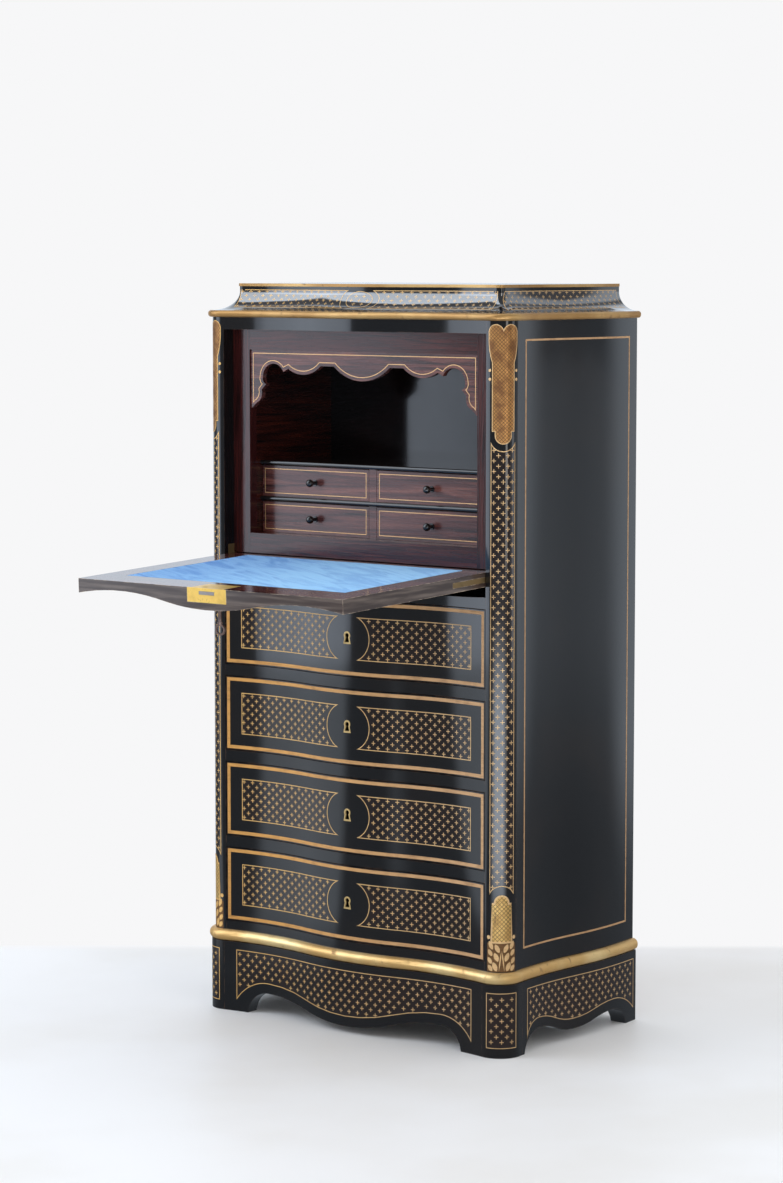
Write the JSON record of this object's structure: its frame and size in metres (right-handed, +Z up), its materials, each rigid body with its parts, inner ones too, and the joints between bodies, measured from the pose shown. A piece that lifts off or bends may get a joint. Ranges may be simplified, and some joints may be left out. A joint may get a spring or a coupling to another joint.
{
  "type": "fall-front secretary",
  "caption": "Free-standing fall-front secretary with a serpentine front, long drawers, a velvet-lined writing fall and a niche with small drawers under a shaped valance.",
  "frame": {"origin": "on the floor, under the middle of the carcass", "axes": "+Z up, -Y out of the front towards the sitter, +X to the sitter's right"},
  "size_m": [0.696, 0.7614, 1.3],
  "materials": {
    "lacquer": "black lacquer",
    "gilt": "gilded, worn",
    "rosewood": "polished rosewood",
    "carcass_wood": "plain oak",
    "brass": "aged brass",
    "steel": "filed steel",
    "velvet": "blue velvet",
    "ebony": "turned ebony"
  },
  "bodies": {
    "carcass": {"corner_post_left": "lacquer", "corner_post_right": "lacquer", "side_panel_left": "lacquer", "side_panel_right": "lacquer", "bottom_board": "lacquer", "drawer_rails": "lacquer", "desk_floor": "lacquer", "fall_top_rail": "lacquer", "plinth_front": "lacquer", "plinth_corners": "lacquer", "plinth_sides": "lacquer", "cornice_board": "lacquer", "cornice_front": "lacquer", "cornice_sides": "lacquer", "top_board": "lacquer", "niche_shelves": "lacquer", "plinth_bead": "gilt", "cornice_bead": "gilt", "top_gilt_edge": "gilt", "face_frame": "rosewood", "valance": "rosewood", "drawer_partitions": "rosewood", "compartment_boards": "rosewood", "back_panel": "carcass_wood", "plinth_back": "carcass_wood", "cornice_back": "carcass_wood", "drawer_runners": "carcass_wood", "pivot_plates": "brass", "strike_plate": "brass"},
    "fall": {"fall_board": "lacquer", "fall_velvet": "velvet", "fall_straps": "brass", "fall_lock": "brass", "fall_strap_screws": "steel"},
    "fall_bolt": {"fall_bolt": "steel"},
    "key": {"fall_key": "steel"},
    "drawer_1": {"drawer_1_front": "lacquer", "drawer_1_box": "carcass_wood", "drawer_1_lock": "brass"},
    "drawer_1_bolt": {"drawer_1_bolt": "steel"},
    "small_drawer_1": {"small_drawer_1": "rosewood", "small_drawer_1_knob": "ebony"},
    "drawer_2": {"drawer_2_front": "lacquer", "drawer_2_box": "carcass_wood", "drawer_2_lock": "brass"},
    "drawer_2_bolt": {"drawer_2_bolt": "steel"},
    "small_drawer_2": {"small_drawer_2": "rosewood", "small_drawer_2_knob": "ebony"},
    "drawer_3": {"drawer_3_front": "lacquer", "drawer_3_box": "carcass_wood", "drawer_3_lock": "brass"},
    "drawer_3_bolt": {"drawer_3_bolt": "steel"},
    "small_drawer_3": {"small_drawer_3": "rosewood", "small_drawer_3_knob": "ebony"},
    "drawer_4": {"drawer_4_front": "lacquer", "drawer_4_box": "carcass_wood", "drawer_4_lock": "brass"},
    "drawer_4_bolt": {"drawer_4_bolt": "steel"},
    "small_drawer_4": {"small_drawer_4": "rosewood", "small_drawer_4_knob": "ebony"}
  },
  "joints": [
    {"name": "fall_hinge", "type": "hinge", "parent": "carcass", "child": "fall", "pos_m": [0, -0.171, 0.819], "axis": [1, 0, 0], "range_deg": [-92.2, 0]},
    {"name": "key_turn", "type": "hinge", "parent": "fall", "child": "key", "pos_m": [0, -0.53773, 0.80491], "axis": [0, -0.0384, 0.9993], "range_deg": [0, 360]},
    {"name": "fall_bolt_slide", "type": "slide", "parent": "fall", "child": "fall_bolt", "axis": [0, -0.9993, -0.0384], "range_m": [0, 0.01]},
    {"name": "drawer_1_slide", "type": "slide", "parent": "carcass", "child": "drawer_1", "axis": [0, -1, 0], "range_m": [0, 0.26]},
    {"name": "drawer_1_bolt_slide", "type": "slide", "parent": "drawer_1", "child": "drawer_1_bolt", "axis": [0, 0, 1], "range_m": [0, 0.01]},
    {"name": "drawer_2_slide", "type": "slide", "parent": "carcass", "child": "drawer_2", "axis": [0, -1, 0], "range_m": [0, 0.26]},
    {"name": "drawer_2_bolt_slide", "type": "slide", "parent": "drawer_2", "child": "drawer_2_bolt", "axis": [0, 0, 1], "range_m": [0, 0.01]},
    {"name": "drawer_3_slide", "type": "slide", "parent": "carcass", "child": "drawer_3", "axis": [0, -1, 0], "range_m": [0, 0.26]},
    {"name": "drawer_3_bolt_slide", "type": "slide", "parent": "drawer_3", "child": "drawer_3_bolt", "axis": [0, 0, 1], "range_m": [0, 0.01]},
    {"name": "drawer_4_slide", "type": "slide", "parent": "carcass", "child": "drawer_4", "axis": [0, -1, 0], "range_m": [0, 0.26]},
    {"name": "drawer_4_bolt_slide", "type": "slide", "parent": "drawer_4", "child": "drawer_4_bolt", "axis": [0, 0, 1], "range_m": [0, 0.01]},
    {"name": "small_drawer_1_slide", "type": "slide", "parent": "carcass", "child": "small_drawer_1", "axis": [0, -1, 0], "range_m": [0, 0.2]},
    {"name": "small_drawer_2_slide", "type": "slide", "parent": "carcass", "child": "small_drawer_2", "axis": [0, -1, 0], "range_m": [0, 0.2]},
    {"name": "small_drawer_3_slide", "type": "slide", "parent": "carcass", "child": "small_drawer_3", "axis": [0, -1, 0], "range_m": [0, 0.2]},
    {"name": "small_drawer_4_slide", "type": "slide", "parent": "carcass", "child": "small_drawer_4", "axis": [0, -1, 0], "range_m": [0, 0.2]}
  ],
  "couplings": [
    {"joint": "key_turn", "follows": "fall_bolt_slide", "rad_per_m": 628.32}
  ]
}
